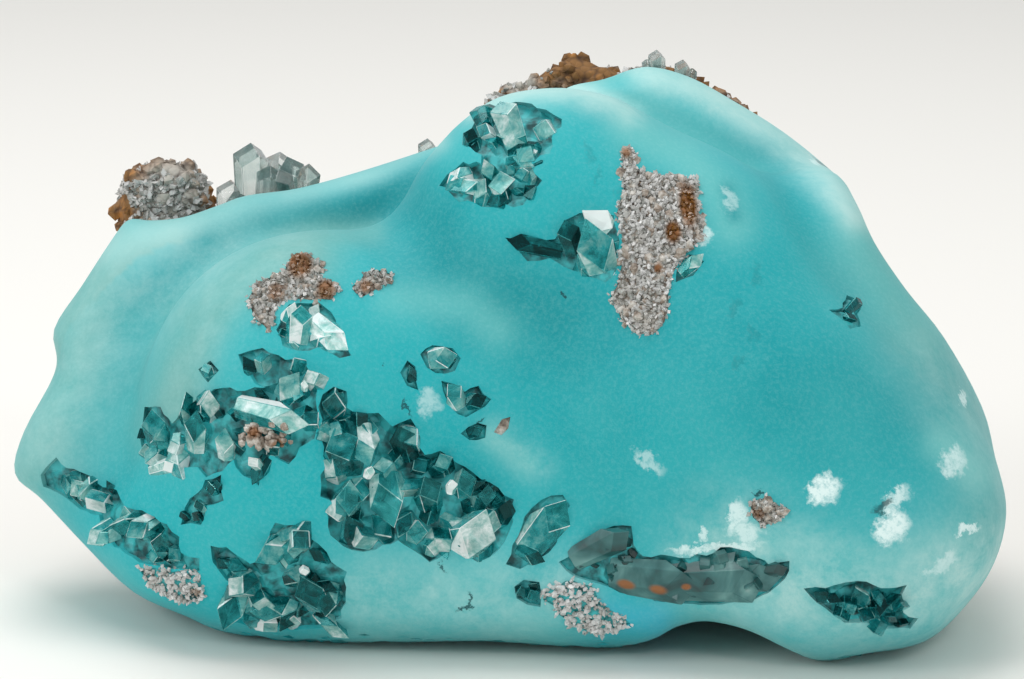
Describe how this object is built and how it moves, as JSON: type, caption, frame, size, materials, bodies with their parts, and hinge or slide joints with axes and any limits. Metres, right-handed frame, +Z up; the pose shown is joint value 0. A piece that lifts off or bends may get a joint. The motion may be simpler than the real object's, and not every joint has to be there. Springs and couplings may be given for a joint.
{
  "type": "rosasite specimen",
  "caption": "Lobed turquoise rosasite crust with clusters of clear calcite crystals and pale druse, grown on brown limonite and broken off flat underneath.",
  "frame": {"origin": "on the ground under the middle of the specimen", "axes": "+X along its length, to the right as the show face is seen; -Y out of the show face; +Z up from the broken base"},
  "size_m": [0.0994, 0.0582, 0.0546],
  "materials": {
    "rosasite": "velvety matt",
    "limonite": "rough",
    "druse": "sparkling, rough",
    "calcite": "clear, glassy faces",
    "smoky": "smoky, broken faces",
    "flake": "matt"
  },
  "bodies": {
    "root": {"rosasite_crust": "rosasite", "limonite_matrix": "limonite", "calcite_upper": "calcite", "druse_centre": "druse", "calcite_centre": "calcite", "calcite_fin": "calcite", "druse_left": "druse", "calcite_left_blade": "calcite", "druse_chip": "druse", "calcite_left_field": "calcite", "calcite_chain": "calcite", "calcite_main_cluster": "calcite", "calcite_lower_left": "calcite", "druse_lower_left": "druse", "calcite_lower_cluster": "calcite", "calcite_blade": "calcite", "calcite_base_slab": "smoky", "druse_base": "druse", "calcite_base_left": "calcite", "calcite_lower_right": "calcite", "calcite_single_left": "calcite", "calcite_single_upper": "calcite", "calcite_single_slim": "calcite", "calcite_pair": "calcite", "calcite_single_lower": "calcite", "limonite_flake": "flake", "calcite_butterfly": "calcite", "druse_pit": "druse", "calcite_top_left": "calcite", "calcite_tip_left": "calcite", "calcite_tip_right": "calcite", "calcite_tip_saddle": "calcite"}
  },
  "joints": []
}
